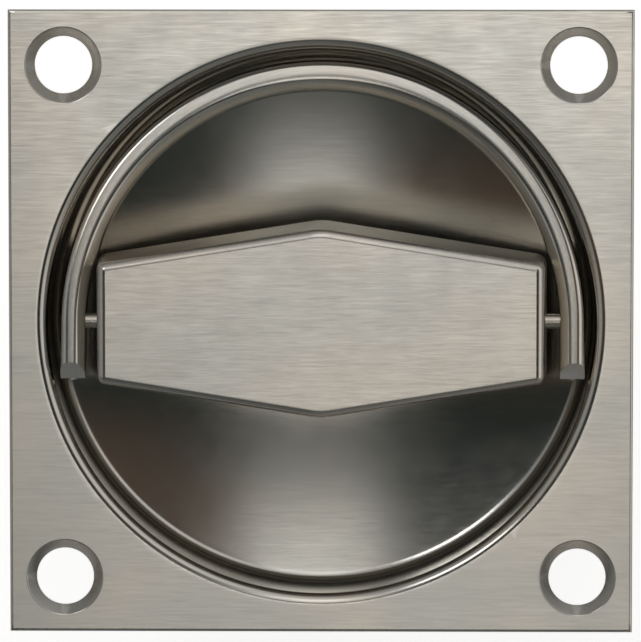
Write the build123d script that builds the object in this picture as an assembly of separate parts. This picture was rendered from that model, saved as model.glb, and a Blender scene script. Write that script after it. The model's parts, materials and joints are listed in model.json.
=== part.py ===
"""Recessed turning ring handle, in millimetres.

A square plate with a bowl drawn from the same sheet is let into a door. A long six-sided
grip turns in a bush at the middle of the bowl and drives a square spindle behind it. A
half ring hangs on two pins in the ends of the grip, lies in the bowl when it isn't used,
and swings out until it stands square to the plate.

Origin: centre of the four screw holes, on the back of the plate. +Z out of the door, +X
along the grip, +Y towards the ring's crown when the ring is folded away.
"""

from build123d import *
import math
import os

# ---- clearances -----------------------------------------------------------------------
RUNNING = 0.05           # radial, shaft in bush and pin in ring
END_PLAY = 0.1           # axial, at each face that slides on another
SOCKET_PLAY = 0.05       # each side of the spindle in its socket
RING_BOWL_GAP = 1.6      # ring to bowl wall
RING_GRIP_GAP = 1.95     # ring to each end of the grip
RING_SIDE_SHIFT = 0.2    # how far the ring has slid along its pins, within that gap
RING_FLOOR_GAP = 0.3     # folded ring, and its swinging tails, to the bowl floor

# ---- face plate and bowl, one sheet ----------------------------------------------------
PLATE_SIDE = 85.0
SHEET = 1.5
EDGE_BREAK = 0.4         # blunted rim of the face
HOLE_INSET = 7.5         # screw holes from the plate's edges
HOLE_D = 7.8
HOLE_LAND = 0.25         # straight part of each hole, below its countersink
SINK_ANGLE = 90.0        # included angle of the countersink
RIM_WIDTH = 5.2          # plate's edge to the inside of the bowl's wall
WALL_DRAFT = 1.0         # degrees, wall closing towards its foot
WALL_DEPTH = 10.8        # face to the foot of the wall
DISH = 4.7               # how far the floor's middle lies below its edge
FOOT_R = 2.0             # inside corner between wall and floor
LIP_R = 1.5              # rounding where the face turns down into the bowl
PAD_R = 11.5             # flat seat pressed into the middle of the floor

# ---- grip ------------------------------------------------------------------------------
GRIP_PROUD = 2.5         # top of the grip above the face
GRIP_HEIGHT = 11.5
GRIP_MID_WIDTH = 25.9
GRIP_END_WIDTH = 16.1
GRIP_DRAFT = 2.5         # degrees, sides spreading towards the base
PEAK_R = 9.0             # soft peaks at mid length
CORNER_R = 1.6           # upright corners at the ends
GRIP_TOP_ROUND = 1.2
GRIP_BASE_ROUND = 0.5

# ---- hub, cast in one with the grip ----------------------------------------------------
NECK_D = 20.0
SHANK_WALL = 1.25        # outside the corners of the spindle's socket
SHANK_TAIL = 8.5         # shank behind the retaining ring
GROOVE_DEPTH = 0.6

# ---- bush, washer, retaining ring ------------------------------------------------------
BUSH_WALL = 1.5
FLANGE_INSET = 0.7       # pad showing round the bush's flange
FLANGE_T = 1.2
BUSH_PROUD = 1.0         # bush behind the bowl floor
WASHER_R = 10.5
WASHER_T = 1.0
CLIP_T = 1.0
CLIP_WIDTH = 2.4         # radial width opposite the gap
CLIP_THIN = 0.9          # how much narrower the clip is at the gap
CLIP_GAP = 5.0
LUG_D = 3.4
LUG_HOLE_D = 1.5

# ---- spindle and its screw -------------------------------------------------------------
SPINDLE_SIDE = 8.0
SPINDLE_LENGTH = 50.0
SPINDLE_BITE = 14.0      # length held in the hub
SPINDLE_CHAMFER = 0.8
SCREW_D = 4.0
SCREW_LENGTH = 4.0
SCREW_KEY = 2.0          # hexagon socket, across flats
SCREW_KEY_DEPTH = 1.8
SCREW_INSET = 4.0        # screw axis from the end of the shank

# ---- ring and its pins -----------------------------------------------------------------
PIVOT_DEPTH = 2.2        # pin axis below the face
PIN_D = 2.0
PIN_BITE = 6.0           # length held in the grip
PIN_INSET = 0.1          # outer end inside the ring's nearer outer side
BAR_WIDTH = 3.35
BAR_HEIGHT = 5.0
CROWN_EXTRA = 0.6        # the bar is this much wider at the crown
INNER_BEVEL = 1.1
OUTER_ROUND = 1.1
UNDER_ROUND = 0.4
TAIL_BEVEL = 2.0         # sloped tip of each tail
TAIL_CORNER = 0.35       # blunted sides of each tip

# ---- levels and sizes that follow ------------------------------------------------------
FACE_Z = SHEET
HOLE_PITCH = PLATE_SIDE - 2 * HOLE_INSET
BOWL_R = PLATE_SIDE / 2 - RIM_WIDTH
FOOT_WALL_R = BOWL_R - WALL_DEPTH * math.tan(math.radians(WALL_DRAFT))
DISH_R = (FOOT_WALL_R**2 + DISH**2) / (2 * DISH)
DISH_CENTRE_Z = FACE_Z - WALL_DEPTH - DISH + DISH_R
PAD_Z = DISH_CENTRE_Z - math.sqrt(DISH_R**2 - PAD_R**2)
SINK_D = HOLE_D + 2 * (SHEET - HOLE_LAND) * math.tan(math.radians(SINK_ANGLE / 2))

SOCKET_SIDE = SPINDLE_SIDE + 2 * SOCKET_PLAY
SHANK_R = SOCKET_SIDE / math.sqrt(2) + SHANK_WALL
BUSH_BORE_R = SHANK_R + RUNNING
BUSH_R = BUSH_BORE_R + BUSH_WALL
FLANGE_R = PAD_R - FLANGE_INSET
FLANGE_TOP_Z = PAD_Z + FLANGE_T
BUSH_BACK_Z = PAD_Z - SHEET - BUSH_PROUD
WASHER_TOP_Z = BUSH_BACK_Z - END_PLAY
CLIP_TOP_Z = WASHER_TOP_Z - WASHER_T
SHANK_END_Z = CLIP_TOP_Z - CLIP_T - SHANK_TAIL
SHOULDER_Z = FLANGE_TOP_Z + END_PLAY
SCREW_Z = SHANK_END_Z + SCREW_INSET

RING_OUTER_R = BOWL_R - RING_BOWL_GAP
RING_INNER_R = RING_OUTER_R - BAR_WIDTH
GRIP_HALF_LENGTH = RING_INNER_R - RING_GRIP_GAP
GRIP_TOP_Z = FACE_Z + GRIP_PROUD
GRIP_BASE_Z = GRIP_TOP_Z - GRIP_HEIGHT
PIVOT_Z = FACE_Z - PIVOT_DEPTH

# Room under the pins sets both the tails' length and how far the folded ring dips.
SWING_ROOM = WALL_DEPTH - PIVOT_DEPTH - RING_FLOOR_GAP
TAIL = math.sqrt(SWING_ROOM**2 - (BAR_HEIGHT / 2) ** 2)
CROWN_REACH = math.hypot(RING_OUTER_R, BAR_HEIGHT / 2)
RING_DIP = math.degrees(
    math.asin(SWING_ROOM / CROWN_REACH) - math.atan2(BAR_HEIGHT / 2, RING_OUTER_R)
)


def upright(radius, low, high):
    """A round bar about the Z axis, between two levels."""
    return Pos(0, 0, low) * Cylinder(
        radius, high - low, align=(Align.CENTER, Align.CENTER, Align.MIN)
    )


def dish_z(radius, sheet):
    """Level of the dished floor at a radius, on its front (0) or its back (SHEET)."""
    return DISH_CENTRE_Z - math.sqrt((DISH_R + sheet) ** 2 - radius**2)


def bowl_body(sheet):
    """What the bowl's front (0) or back (SHEET) surface encloses, up to the face."""
    pad_z = PAD_Z - sheet
    pad_r = math.sqrt((DISH_R + sheet) ** 2 - (DISH_CENTRE_Z - pad_z) ** 2)
    foot_r = FOOT_WALL_R + sheet
    foot_z = dish_z(foot_r, sheet)
    top_r = BOWL_R + sheet
    floor = RadiusArc((pad_r, pad_z), (foot_r, foot_z), -(DISH_R + sheet))
    outline = [
        Line((0, FACE_Z), (0, pad_z)),
        Line((0, pad_z), (pad_r, pad_z)),
        floor,
        Line((foot_r, foot_z), (top_r, FACE_Z)),
        Line((top_r, FACE_Z), (0, FACE_Z)),
    ]
    section = make_face(Curve() + outline)
    foot = section.vertices().sort_by_distance((foot_r, foot_z))[0]
    section = fillet(foot, FOOT_R + sheet)
    return revolve(Plane.XZ * section, Axis.Z)


def make_face_plate():
    """Square plate and bowl, with countersunk corner holes and a hole for the bush."""
    plate = Pos(0, 0, FACE_Z) * Box(
        PLATE_SIDE, PLATE_SIDE, SHEET, align=(Align.CENTER, Align.CENTER, Align.MAX)
    )
    rim = plate.edges().group_by(Axis.Z)[-1]
    plate = chamfer(rim, EDGE_BREAK)
    plate = plate + bowl_body(SHEET) - bowl_body(0)
    lip = plate.edges().filter_by(GeomType.CIRCLE).sort_by(
        lambda edge: abs(edge.radius - BOWL_R) + abs(edge.arc_center.Z - FACE_Z)
    )[0]
    plate = fillet(lip, LIP_R)
    screw_hole = upright(HOLE_D / 2, -SHEET, FACE_Z + SHEET) + Pos(0, 0, HOLE_LAND) * Cone(
        HOLE_D / 2, SINK_D / 2, FACE_Z - HOLE_LAND, align=(Align.CENTER, Align.CENTER, Align.MIN)
    )
    for place in GridLocations(HOLE_PITCH, HOLE_PITCH, 2, 2):
        plate -= place * screw_hole
    return plate - upright(BUSH_R, PAD_Z - 2 * SHEET, PAD_Z + SHEET)


def make_bush():
    """Flanged bush, seated on the pad and pressed through the bowl's floor."""
    body = upright(BUSH_R, BUSH_BACK_Z, PAD_Z) + upright(FLANGE_R, PAD_Z, FLANGE_TOP_Z)
    return body - upright(BUSH_BORE_R, BUSH_BACK_Z - SHEET, FLANGE_TOP_Z + SHEET)


def make_washer():
    """Plain washer between the bush and the retaining ring."""
    return upright(WASHER_R, CLIP_TOP_Z, WASHER_TOP_Z) - upright(
        BUSH_BORE_R, CLIP_TOP_Z - SHEET, WASHER_TOP_Z + SHEET
    )


def make_retaining_ring():
    """External retaining ring with two eyed lugs, seated in the shank's groove."""
    groove_r = SHANK_R - GROOVE_DEPTH
    outer_r = groove_r + CLIP_WIDTH - CLIP_THIN / 2
    plan = Pos(0, -CLIP_THIN / 2) * Circle(outer_r)
    lug_r = groove_r + LUG_D / 2
    lug_angle = math.degrees(math.asin((CLIP_GAP + LUG_D) / 2 / lug_r))
    lugs = [Rot(0, 0, side * lug_angle) * Pos(0, lug_r) for side in (-1, 1)]
    for lug in lugs:
        plan += lug * Circle(LUG_D / 2)
    plan -= Pos(0, lug_r) * Rectangle(CLIP_GAP, 2 * lug_r)
    plan -= Circle(groove_r)
    for lug in lugs:
        plan -= lug * Circle(LUG_HOLE_D / 2)
    return Pos(0, 0, CLIP_TOP_Z - CLIP_T) * extrude(plan, CLIP_T)


def grip_plan(width_extra):
    """Six-sided outline of the grip, widest at mid length, with rounded corners."""
    half_x = GRIP_HALF_LENGTH + width_extra
    half_end = GRIP_END_WIDTH / 2 + width_extra
    half_mid = GRIP_MID_WIDTH / 2 + width_extra
    corners = [
        (-half_x, -half_end), (0, -half_mid), (half_x, -half_end),
        (half_x, half_end), (0, half_mid), (-half_x, half_end),
    ]
    plan = make_face(Polyline(*corners, close=True))
    peaks = [vertex for vertex in plan.vertices() if abs(vertex.X) < half_x / 2]
    plan = fillet(peaks, PEAK_R)
    ends = [vertex for vertex in plan.vertices() if abs(vertex.X) > half_x - half_end / 2]
    return fillet(ends, CORNER_R)


def make_turn_grip():
    """Grip, neck and shank in one casting, with sockets for spindle, screw and pins."""
    spread = GRIP_HEIGHT * math.tan(math.radians(GRIP_DRAFT))
    base = Pos(0, 0, GRIP_BASE_Z) * grip_plan(spread)
    grip = extrude(base, GRIP_HEIGHT, taper=GRIP_DRAFT)
    grip = fillet(grip.edges().group_by(Axis.Z)[-1], GRIP_TOP_ROUND)
    grip = fillet(grip.edges().group_by(Axis.Z)[0], GRIP_BASE_ROUND)
    middle_z = GRIP_TOP_Z - GRIP_HEIGHT / 2
    grip += upright(NECK_D / 2, SHOULDER_Z, middle_z)
    grip += upright(SHANK_R, SHANK_END_Z, middle_z)
    groove = upright(2 * SHANK_R, CLIP_TOP_Z - CLIP_T, CLIP_TOP_Z)
    core = upright(SHANK_R - GROOVE_DEPTH, CLIP_TOP_Z - 2 * CLIP_T, CLIP_TOP_Z + CLIP_T)
    grip -= groove - core
    grip -= Pos(0, 0, SHANK_END_Z + SPINDLE_BITE) * Box(
        SOCKET_SIDE, SOCKET_SIDE, 2 * SPINDLE_BITE, align=(Align.CENTER, Align.CENTER, Align.MAX)
    )
    grip -= Pos(0, 0, SCREW_Z) * Rot(0, 90, 0) * Cylinder(
        SCREW_D / 2, 2 * SHANK_R, align=(Align.CENTER, Align.CENTER, Align.MIN)
    )
    for side in (-1, 1):
        grip -= pin_bar(side, PIN_D / 2, GRIP_HALF_LENGTH - PIN_BITE, RING_OUTER_R)
    return grip


def pin_bar(side, radius, near, far):
    """A round bar on the pin axis, from near to far on one side of the middle."""
    return Pos(side * (near + far) / 2, 0, PIVOT_Z) * Rot(0, 90, 0) * Cylinder(radius, far - near)


def make_pin(side):
    """Pivot pin, pressed into one end of the grip."""
    outer_end = RING_OUTER_R - RING_SIDE_SHIFT - PIN_INSET
    pin = pin_bar(side, PIN_D / 2, GRIP_HALF_LENGTH - PIN_BITE, outer_end)
    ends = pin.edges().filter_by(GeomType.CIRCLE)
    return chamfer(ends, PIN_D / 10)


def ring_outline():
    """Plan of the half ring: two tails and an arc that thickens towards its crown."""
    outer = [
        Line((-RING_OUTER_R, -TAIL), (-RING_OUTER_R, 0)),
        ThreePointArc((-RING_OUTER_R, 0), (0, RING_OUTER_R), (RING_OUTER_R, 0)),
        Line((RING_OUTER_R, 0), (RING_OUTER_R, -TAIL)),
    ]
    top = RING_INNER_R - CROWN_EXTRA
    inner = [
        Line((RING_INNER_R, -TAIL), (RING_INNER_R, -CROWN_EXTRA)),
        ThreePointArc((RING_INNER_R, -CROWN_EXTRA), (0, top), (-RING_INNER_R, -CROWN_EXTRA)),
        Line((-RING_INNER_R, -CROWN_EXTRA), (-RING_INNER_R, -TAIL)),
    ]
    tips = [
        Line((RING_OUTER_R, -TAIL), (RING_INNER_R, -TAIL)),
        Line((-RING_INNER_R, -TAIL), (-RING_OUTER_R, -TAIL)),
    ]
    return make_face(Curve() + [outer[0], outer[1], outer[2], tips[0], *inner, tips[1]])


def along(edges, half_width):
    """Edges that run along the bar at a given half width, straight or round."""
    found = []
    for edge in edges:
        middle = edge @ 0.5
        if edge.geom_type == GeomType.CIRCLE:
            if abs(edge.radius - half_width) < BAR_WIDTH / 4:
                found.append(edge)
        elif abs(abs(middle.X) - half_width) < BAR_WIDTH / 4:
            found.append(edge)
    return found


def make_ring():
    """Half ring with sloped tips, folded down into the bowl on its pins."""
    ring = extrude(ring_outline(), BAR_HEIGHT / 2, both=True)
    top = ring.edges().group_by(Axis.Z)[-1]
    ring = chamfer(along(top, RING_INNER_R), INNER_BEVEL)
    top = ring.edges().group_by(Axis.Z)[-1]
    ring = fillet(along(top, RING_OUTER_R), OUTER_ROUND)
    tip = (-TAIL, BAR_HEIGHT / 2)
    slope = make_face(
        Polyline(
            (tip[0] - TAIL_BEVEL, tip[1] + TAIL_BEVEL),
            (tip[0] + 2 * TAIL_BEVEL, tip[1] + TAIL_BEVEL),
            (tip[0] - TAIL_BEVEL, tip[1] - 2 * TAIL_BEVEL),
            close=True,
        )
    )
    ring -= extrude(Plane.YZ * slope, 2 * RING_OUTER_R, both=True)
    sides = [edge for edge in ring.edges().filter_by(Axis.Z) if edge.center().Y < 0]
    ring = chamfer(sides, TAIL_CORNER)
    under = ring.edges().group_by(Axis.Z)[0]
    ring = fillet(under, UNDER_ROUND)
    for side in (-1, 1):
        ring -= Pos(side * RING_INNER_R, 0, 0) * Rot(0, 90, 0) * Cylinder(
            PIN_D / 2 + RUNNING, 4 * BAR_WIDTH
        )
    return Pos(RING_SIDE_SHIFT, 0, PIVOT_Z) * Rot(-RING_DIP, 0, 0) * ring


def make_spindle():
    """Square spindle, held in the shank and reaching back into the latch."""
    top_z = SHANK_END_Z + SPINDLE_BITE - END_PLAY
    spindle = Pos(0, 0, top_z) * Box(
        SPINDLE_SIDE, SPINDLE_SIDE, SPINDLE_LENGTH, align=(Align.CENTER, Align.CENTER, Align.MAX)
    )
    ends = spindle.edges().group_by(Axis.Z)
    return chamfer(ends[0] + ends[-1], SPINDLE_CHAMFER)


def make_grub_screw():
    """Grub screw through the side of the shank, bearing on the spindle."""
    bar = Cylinder(SCREW_D / 2, SCREW_LENGTH, align=(Align.CENTER, Align.CENTER, Align.MIN))
    key = extrude(RegularPolygon(SCREW_KEY / 2, 6, major_radius=False), 2 * SCREW_KEY_DEPTH)
    screw = bar - Pos(0, 0, SCREW_LENGTH - SCREW_KEY_DEPTH) * key
    return Pos(SPINDLE_SIDE / 2, 0, SCREW_Z) * Rot(0, 90, 0) * screw


def main():
    """Build every piece and write one file for each."""
    pieces = {
        "face_plate": make_face_plate(),
        "bearing_bush": make_bush(),
        "turn_grip": make_turn_grip(),
        "pivot_pin_left": make_pin(-1),
        "pivot_pin_right": make_pin(1),
        "ring_handle": make_ring(),
        "back_washer": make_washer(),
        "retaining_ring": make_retaining_ring(),
        "square_spindle": make_spindle(),
        "grub_screw": make_grub_screw(),
    }
    os.makedirs("parts", exist_ok=True)
    for name, piece in pieces.items():
        export_step(piece, f"parts/{name}.step")
    print(f"pin axis z {PIVOT_Z:.2f}, ring dips {RING_DIP:.2f} degrees, tail {TAIL:.2f}")


main()
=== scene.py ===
"""Studio scene of a recessed turning ring handle in satin stainless steel.

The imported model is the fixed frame. The two surfaces that carry the look, the pressed
plate with its bowl and the half ring, are worked out again as fine smooth meshes on the
same sizes. Every other piece keeps its solid and gets its own finish.
"""

import json
import logging
import math
from collections.abc import Callable
from dataclasses import dataclass, field
from enum import Enum

import bmesh
import bpy
import numpy as np
from mathutils import Matrix, Vector

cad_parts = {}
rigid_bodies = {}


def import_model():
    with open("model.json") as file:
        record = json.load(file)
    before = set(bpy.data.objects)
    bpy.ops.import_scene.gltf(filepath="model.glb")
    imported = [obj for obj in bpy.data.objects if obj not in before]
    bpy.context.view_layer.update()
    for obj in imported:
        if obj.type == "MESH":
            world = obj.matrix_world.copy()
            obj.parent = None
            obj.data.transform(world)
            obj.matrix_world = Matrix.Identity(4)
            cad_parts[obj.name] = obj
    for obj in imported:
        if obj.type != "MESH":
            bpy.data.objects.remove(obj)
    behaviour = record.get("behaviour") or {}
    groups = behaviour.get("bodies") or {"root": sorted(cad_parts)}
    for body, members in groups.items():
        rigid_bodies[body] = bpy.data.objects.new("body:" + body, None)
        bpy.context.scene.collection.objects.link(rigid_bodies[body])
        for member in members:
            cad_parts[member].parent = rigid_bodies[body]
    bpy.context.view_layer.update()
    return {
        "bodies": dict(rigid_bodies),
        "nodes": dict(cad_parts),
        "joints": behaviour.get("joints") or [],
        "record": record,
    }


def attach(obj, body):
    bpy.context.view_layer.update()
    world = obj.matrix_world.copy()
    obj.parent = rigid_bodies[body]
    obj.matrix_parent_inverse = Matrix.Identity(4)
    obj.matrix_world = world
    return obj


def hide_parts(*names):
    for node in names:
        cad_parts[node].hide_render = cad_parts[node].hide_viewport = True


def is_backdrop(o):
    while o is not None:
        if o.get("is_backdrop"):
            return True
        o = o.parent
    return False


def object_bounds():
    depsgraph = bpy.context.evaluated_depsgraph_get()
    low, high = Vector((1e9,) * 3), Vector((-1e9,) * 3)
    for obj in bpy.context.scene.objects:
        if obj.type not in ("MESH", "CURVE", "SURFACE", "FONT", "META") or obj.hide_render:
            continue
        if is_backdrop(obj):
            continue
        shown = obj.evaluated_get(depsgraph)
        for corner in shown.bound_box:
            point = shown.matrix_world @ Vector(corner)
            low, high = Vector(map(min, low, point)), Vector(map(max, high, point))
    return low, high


LOG = logging.getLogger("ring_handle_scene")
MM = 0.001
TAU = 2.0 * math.pi

Array = np.ndarray
Pair = tuple[float, float]
Triple = tuple[float, float, float]
Socket = bpy.types.NodeSocket


# ---------------------------------------------------------------------------- meshes


def add_object(name: str, data: bpy.types.ID) -> bpy.types.Object:
    """Makes an object that holds the data, and links it to the scene."""
    made = bpy.data.objects.new(name, data)
    bpy.context.scene.collection.objects.link(made)
    return made


@dataclass
class Patchwork:
    """Collects grids of points and turns them into one welded mesh.

    Attributes:
        points: Point arrays, one row of three for each vertex.
        faces: Quads as rows of four vertex numbers.
        marks: One float for each vertex, such as the distance along a bar.
        count: Number of points collected so far.
    """

    points: list[Array] = field(default_factory=list)
    faces: list[Array] = field(default_factory=list)
    marks: list[Array] = field(default_factory=list)
    count: int = 0

    def add_grid(self, grid: Array, closed: bool = False, flip: bool = False,
                 marks: Array | None = None) -> None:
        """Adds a surface given as points on a two-parameter grid.

        The quad at row i and column j joins points (i, j), (i, j+1), (i+1, j+1) and
        (i+1, j); a closed grid joins its last column to its first.

        Args:
            grid: Points, shaped (rows, columns, 3), in metres.
            closed: Joins the last column to the first.
            flip: Turns the faces over.
            marks: One float for each point, shaped (rows, columns).
        """
        rows, cols = grid.shape[:2]
        ids = np.arange(rows * cols).reshape(rows, cols) + self.count
        right = np.roll(ids, -1, axis=1) if closed else ids[:, 1:]
        left = ids if closed else ids[:, :-1]
        quads = np.stack([left[:-1], right[:-1], right[1:], left[1:]], axis=-1)
        quads = quads.reshape(-1, 4)
        self.points.append(grid.reshape(-1, 3))
        self.faces.append(quads[:, ::-1] if flip else quads)
        blank = np.zeros((rows, cols))
        self.marks.append((blank if marks is None else marks).reshape(-1))
        self.count += rows * cols

    def to_object(self, name: str, weld: float, sharp: float,
                  finish: Callable[[bmesh.types.BMesh], None] | None = None
                  ) -> bpy.types.Object:
        """Welds the grids into one smooth-shaded object.

        Args:
            name: Name of the object and its mesh.
            weld: Distance under which two points become one, in metres.
            sharp: Angle in degrees past which an edge stays crisp.
            finish: Optional last work on the welded mesh, such as a cut.

        Returns:
            The object, linked to the scene, with its place in its mesh.
        """
        mesh = bpy.data.meshes.new(name)
        points = np.concatenate(self.points)
        faces = np.concatenate(self.faces)
        mesh.vertices.add(len(points))
        mesh.vertices.foreach_set("co", points.astype(np.float32).ravel())
        mesh.loops.add(faces.size)
        mesh.loops.foreach_set("vertex_index", faces.astype(np.int32).ravel())
        mesh.polygons.add(len(faces))
        starts = np.arange(0, faces.size, 4, dtype=np.int32)
        mesh.polygons.foreach_set("loop_start", starts)
        mesh.update(calc_edges=True)
        layer = mesh.attributes.new("along", "FLOAT", "POINT")
        layer.data.foreach_set("value", np.concatenate(self.marks).astype(np.float32))
        work = bmesh.new()
        work.from_mesh(mesh)
        bmesh.ops.remove_doubles(work, verts=work.verts, dist=weld)
        bmesh.ops.dissolve_degenerate(work, edges=work.edges, dist=weld)
        if finish is not None:
            finish(work)
        bmesh.ops.recalc_face_normals(work, faces=work.faces)
        work.to_mesh(mesh)
        work.free()
        smooth = np.ones(len(mesh.polygons), dtype=bool)
        mesh.polygons.foreach_set("use_smooth", smooth)
        mesh.set_sharp_from_angle(angle=math.radians(sharp))
        mesh.update()
        return add_object(name, mesh)


def arc_points(centre: Pair, radius: float, start: float, stop: float,
               steps: int) -> Array:
    """Points of a plane arc: centre + radius times (cos a, sin a), a from start to stop.

    Args:
        centre: Centre of the arc.
        radius: Radius of the arc.
        start: First angle in degrees.
        stop: Last angle in degrees.
        steps: Number of chords.

    Returns:
        Points, shaped (steps + 1, 2).
    """
    angle = np.radians(np.linspace(start, stop, steps + 1))
    across, up = radius * np.cos(angle), radius * np.sin(angle)
    return np.stack([centre[0] + across, centre[1] + up], -1)


def straight(start: Pair, stop: Pair, steps: int) -> Array:
    """Evenly spaced points from start to stop, both included, shaped (steps + 1, 2)."""
    return np.linspace(start, stop, steps + 1)


def at_level(flat: Array, level: float) -> Array:
    """Lifts plane points, shaped (..., 2) in millimetres, to a level; gives metres."""
    height = np.full((*flat.shape[:-1], 1), level)
    return np.concatenate([flat, height], -1) * MM


# ------------------------------------------------------------------------- materials


class Graph:
    """Short hand for adding and wiring nodes in a shader tree or a node group."""

    def __init__(self, tree: bpy.types.NodeTree) -> None:
        """Keeps the tree that nodes are added to."""
        self.tree = tree

    def fill(self, node: bpy.types.Node, inputs: tuple | dict[str, object]) -> None:
        """Feeds a node's inputs: links an output, or sets a plain value.

        Args:
            node: The node.
            inputs: An output or a value for each input, from the first or by name.
        """
        by_name = isinstance(inputs, dict)
        for key, source in inputs.items() if by_name else enumerate(inputs):
            if isinstance(source, Socket):
                self.tree.links.new(source, node.inputs[key])
            else:
                node.inputs[key].default_value = source

    def node(self, kind: str, inputs: tuple | dict[str, object] = (),
             **settings: object) -> bpy.types.Node:
        """Adds a node, sets its properties and feeds its inputs.

        Args:
            kind: Blender's node type name.
            inputs: An output or a value for each input, from the first or by name.
            settings: Properties of the node.

        Returns:
            The new node.
        """
        made = self.tree.nodes.new(kind)
        for key, value in settings.items():
            setattr(made, key, value)
        self.fill(made, inputs)
        return made

    def place(self, kind: str = "Object") -> Socket:
        """One output of Texture Coordinate."""
        return self.node("ShaderNodeTexCoord").outputs[kind]

    def math(self, operation: str, first: object, second: object = 0.0) -> Socket:
        """One Math node; returns its output."""
        return self.node("ShaderNodeMath", (first, second), operation=operation).outputs[0]

    def split(self, vector: object) -> tuple[Socket, Socket, Socket]:
        """The three parts of a vector."""
        return tuple(self.node("ShaderNodeSeparateXYZ", (vector,)).outputs)

    def join(self, x: object, y: object, z: object) -> Socket:
        """A vector from its three parts."""
        return self.node("ShaderNodeCombineXYZ", (x, y, z)).outputs[0]

    def across(self, direction: Socket) -> Socket:
        """The way over the surface that is square to a direction."""
        normal = self.node("ShaderNodeNewGeometry").outputs["Normal"]
        return self.node("ShaderNodeVectorMath", (direction, normal),
                         operation="CROSS_PRODUCT").outputs[0]

    def remap(self, value: object, low: object, high: object, to_low: float = 0.0,
              to_high: float = 1.0, smooth: bool = True) -> Socket:
        """Maps a value from low..high to to_low..to_high, held at both ends.

        Args:
            value: What is mapped.
            low: Start of its range, which may be above high.
            high: End of its range.
            to_low: Result at low.
            to_high: Result at high.
            smooth: Eases the result at both ends.

        Returns:
            The result.
        """
        ease = "SMOOTHSTEP" if smooth else "LINEAR"
        return self.node("ShaderNodeMapRange", (value, low, high, to_low, to_high),
                         clamp=True, interpolation_type=ease).outputs[0]

    def noise(self, vector: object, scale: object, detail: float = 2.0,
              roughness: float = 0.5) -> Socket:
        """A Noise Texture's factor.

        Args:
            vector: Where the noise is read.
            scale: Number of lumps for each metre.
            detail: Number of finer layers.
            roughness: Strength of the finer layers.

        Returns:
            The factor, about 0.5 on average.
        """
        inputs = {"Vector": vector, "Scale": scale, "Detail": detail,
                  "Roughness": roughness}
        return self.node("ShaderNodeTexNoise", inputs).outputs["Fac"]

    def stretch(self, vector: object, scale: object,
                turn: Triple = (0.0, 0.0, 0.0)) -> Socket:
        """A Mapping node: scales each axis of the vector, then turns it."""
        inputs = {"Vector": vector, "Rotation": turn, "Scale": scale}
        return self.node("ShaderNodeMapping", inputs, vector_type="POINT").outputs[0]

    def mix(self, factor: object, first: object, second: object,
            blend: str = "MIX") -> Socket:
        """Mixes two colours.

        Args:
            factor: Share of the second colour.
            first: First colour.
            second: Second colour.
            blend: Blender's name for the way of mixing.

        Returns:
            The mixed colour.
        """
        return self.node("ShaderNodeMix", {"Factor": factor, "A": first, "B": second},
                         data_type="RGBA", blend_type=blend).outputs["Result"]

    def group(self, effect: bpy.types.NodeTree, **inputs: object) -> bpy.types.Node:
        """Places a shared node group and feeds its inputs by name."""
        return self.node("ShaderNodeGroup", inputs, node_tree=effect)

    def background(self, colour: object, strength: object = 1.0) -> Socket:
        """Light of one colour and strength, from the world."""
        return self.node("ShaderNodeBackground", (colour, strength)).outputs[0]


def rgba(colour: Triple, gain: float = 1.0) -> tuple[float, float, float, float]:
    """A colour times a gain, held at 1, with full alpha."""
    return (*(min(1.0, part * gain) for part in colour), 1.0)


def start_material(name: str) -> tuple[bpy.types.Material, Graph, bpy.types.Node]:
    """Starts a node material.

    Args:
        name: Name of the material.

    Returns:
        The material, its graph and its Principled shader.
    """
    material = bpy.data.materials.new(name)
    material.use_nodes = True
    shader = material.node_tree.nodes["Principled BSDF"]
    return material, Graph(material.node_tree), shader


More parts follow.
